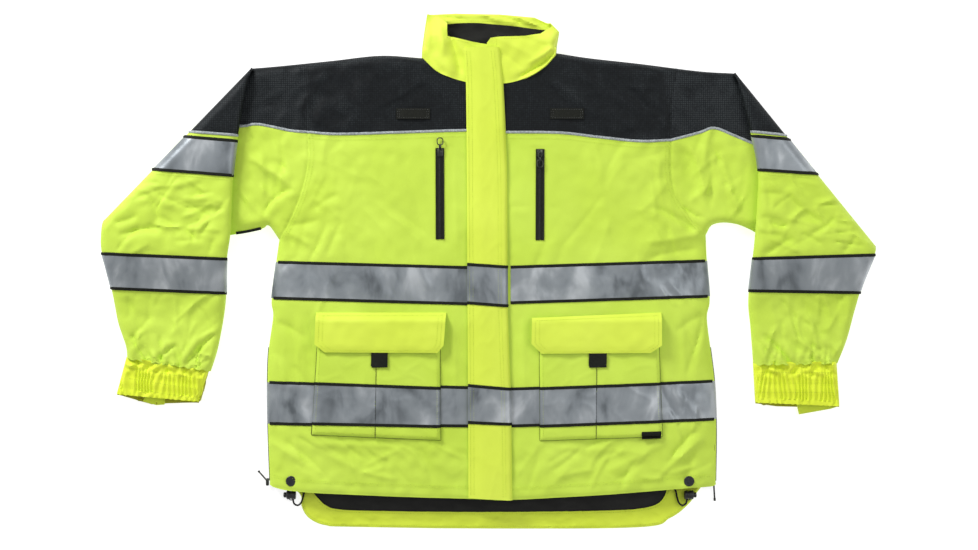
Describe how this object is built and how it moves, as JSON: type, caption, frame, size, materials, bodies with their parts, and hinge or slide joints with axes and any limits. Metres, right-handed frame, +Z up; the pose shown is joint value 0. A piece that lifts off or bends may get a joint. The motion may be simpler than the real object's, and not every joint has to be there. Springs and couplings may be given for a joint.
{
  "type": "hi-vis winter coat",
  "caption": "Waist-length high-visibility coat with a dark yoke, silver bands, storm flap and cargo pockets, lying flat with both sleeves folded down.",
  "frame": {"origin": "on the resting surface, under the middle of the coat's bounding box", "axes": "+X towards the wearer's left sleeve, +Y from hem to collar, +Z up out of the front"},
  "size_m": [1.24, 0.832, 0.0481],
  "materials": {
    "yellow_cloth": "fluorescent yellow oxford weave",
    "black_cloth": "black honeycomb weave and lining",
    "silver_tape": "silver reflective tape with black edges",
    "black_trim": "coated black zip tape",
    "dark_metal": "dark enamelled zinc",
    "black_plastic": "moulded"
  },
  "bodies": {
    "shell": {"back_panel": "yellow_cloth", "back_yoke": "black_cloth", "back_lining": "black_cloth", "back_chest_band": "silver_tape", "back_hem_band": "silver_tape", "collar_back": "yellow_cloth", "hanger_loop": "black_cloth", "hem_drawcord": "black_cloth", "shoulder_left": "black_cloth", "side_front_left": "yellow_cloth", "upper_sleeve_left": "yellow_cloth", "side_zip_left": "black_trim", "cord_lock_left": "black_plastic", "shoulder_right": "black_cloth", "side_front_right": "yellow_cloth", "upper_sleeve_right": "yellow_cloth", "side_zip_right": "black_trim", "cord_lock_right": "black_plastic"},
    "front_left": {"front_panel_left": "yellow_cloth", "front_yoke_left": "black_cloth", "collar_front_left": "yellow_cloth", "chest_band_left": "silver_tape", "hem_band_left": "silver_tape", "zip_tape_left": "black_trim", "mic_tab_left": "black_cloth", "snap_cap_left": "dark_metal", "chest_zip_left": "black_trim", "pocket_left": "yellow_cloth"},
    "front_right": {"front_panel_right": "yellow_cloth", "front_yoke_right": "black_cloth", "collar_front_right": "yellow_cloth", "chest_band_right": "silver_tape", "hem_band_right": "silver_tape", "zip_tape_right": "black_trim", "mic_tab_right": "black_cloth", "snap_cap_right": "dark_metal", "chest_zip_right": "black_trim", "pocket_right": "yellow_cloth"},
    "storm_flap": {"storm_flap": "yellow_cloth"},
    "main_slider": {"main_slider": "dark_metal"},
    "pocket_flap_left": {"pocket_flap_left": "yellow_cloth"},
    "chest_slider_left": {"chest_slider_left": "dark_metal"},
    "chest_pull_left": {"chest_pull_left": "dark_metal"},
    "side_slider_left": {"side_slider_left": "dark_metal"},
    "sleeve_left": {"sleeve_left": "yellow_cloth", "elbow_band_left": "silver_tape", "upper_band_left": "silver_tape", "cuff_left": "yellow_cloth"},
    "cuff_tab_left": {"cuff_tab_left": "yellow_cloth"},
    "lock_button_left": {"lock_button_left": "black_plastic"},
    "pocket_flap_right": {"pocket_flap_right": "yellow_cloth"},
    "chest_slider_right": {"chest_slider_right": "dark_metal"},
    "chest_pull_right": {"chest_pull_right": "dark_metal"},
    "side_slider_right": {"side_slider_right": "dark_metal"},
    "sleeve_right": {"sleeve_right": "yellow_cloth", "elbow_band_right": "silver_tape", "upper_band_right": "silver_tape", "cuff_right": "yellow_cloth"},
    "cuff_tab_right": {"cuff_tab_right": "yellow_cloth"},
    "lock_button_right": {"lock_button_right": "black_plastic"}
  },
  "joints": [
    {"name": "open_front_left", "type": "hinge", "parent": "shell", "child": "front_left", "pos_m": [0.115, 0.35, 0.0308], "axis": [-0.454, 0.891, 0], "range_deg": [0, 100]},
    {"name": "open_front_right", "type": "hinge", "parent": "shell", "child": "front_right", "pos_m": [-0.115, 0.35, 0.0308], "axis": [-0.454, -0.891, 0], "range_deg": [0, 100]},
    {"name": "lift_storm_flap", "type": "hinge", "parent": "front_left", "child": "storm_flap", "pos_m": [0.03, 0.005, 0.0384], "axis": [-0.0149, 0.9999, 0], "range_deg": [0, 120]},
    {"name": "main_zip_slide", "type": "slide", "parent": "front_right", "child": "main_slider", "axis": [0, -1, 0], "range_m": [0, 0.7]},
    {"name": "lift_pocket_flap_left", "type": "hinge", "parent": "front_left", "child": "pocket_flap_left", "pos_m": [0.1715, -0.0655, 0.0314], "axis": [-1, 0, 0], "range_deg": [0, 100]},
    {"name": "chest_zip_slide_left", "type": "slide", "parent": "front_left", "child": "chest_slider_left", "axis": [0, -1, 0], "range_m": [0, 0.13]},
    {"name": "chest_pull_swing_left", "type": "hinge", "parent": "chest_slider_left", "child": "chest_pull_left", "pos_m": [0.0798, 0.19, 0.0362], "axis": [-1, 0, 0], "range_deg": [0, 160]},
    {"name": "side_zip_slide_left", "type": "slide", "parent": "shell", "child": "side_slider_left", "axis": [0, 1, 0], "range_m": [0, 0.2]},
    {"name": "unfold_sleeve_left", "type": "hinge", "parent": "shell", "child": "sleeve_left", "pos_m": [0.50525, 0.17925, 0.0262], "axis": [-0.6293, 0.7772, 0], "range_deg": [0, 170]},
    {"name": "lift_cuff_tab_left", "type": "hinge", "parent": "sleeve_left", "child": "cuff_tab_left", "pos_m": [0.52675, -0.21005, 0.006], "axis": [-0.9998, 0.0219, 0], "range_deg": [0, 85]},
    {"name": "press_lock_button_left", "type": "slide", "parent": "shell", "child": "lock_button_left", "axis": [-1, 0, 0], "range_m": [0, 0.003], "stiffness_N_per_m": 400, "springref_m": -0.001},
    {"name": "lift_pocket_flap_right", "type": "hinge", "parent": "front_right", "child": "pocket_flap_right", "pos_m": [-0.1715, -0.0655, 0.0314], "axis": [-1, 0, 0], "range_deg": [0, 100]},
    {"name": "chest_zip_slide_right", "type": "slide", "parent": "front_right", "child": "chest_slider_right", "axis": [0, -1, 0], "range_m": [0, 0.13]},
    {"name": "chest_pull_swing_right", "type": "hinge", "parent": "chest_slider_right", "child": "chest_pull_right", "pos_m": [-0.0798, 0.19, 0.0362], "axis": [1, 0, 0], "range_deg": [0, 160]},
    {"name": "side_zip_slide_right", "type": "slide", "parent": "shell", "child": "side_slider_right", "axis": [0, 1, 0], "range_m": [0, 0.2]},
    {"name": "unfold_sleeve_right", "type": "hinge", "parent": "shell", "child": "sleeve_right", "pos_m": [-0.50075, 0.20325, 0.0262], "axis": [-0.6953, -0.7187, 0], "range_deg": [0, 170]},
    {"name": "lift_cuff_tab_right", "type": "hinge", "parent": "sleeve_right", "child": "cuff_tab_right", "pos_m": [-0.5415, -0.1981, 0.006], "axis": [-0.9879, 0.1549, 0], "range_deg": [0, 85]},
    {"name": "press_lock_button_right", "type": "slide", "parent": "shell", "child": "lock_button_right", "axis": [1, 0, 0], "range_m": [0, 0.003], "stiffness_N_per_m": 400, "springref_m": -0.001}
  ],
  "couplings": [
    {"joint": "open_front_right", "follows": "open_front_left", "ratio": 1}
  ]
}
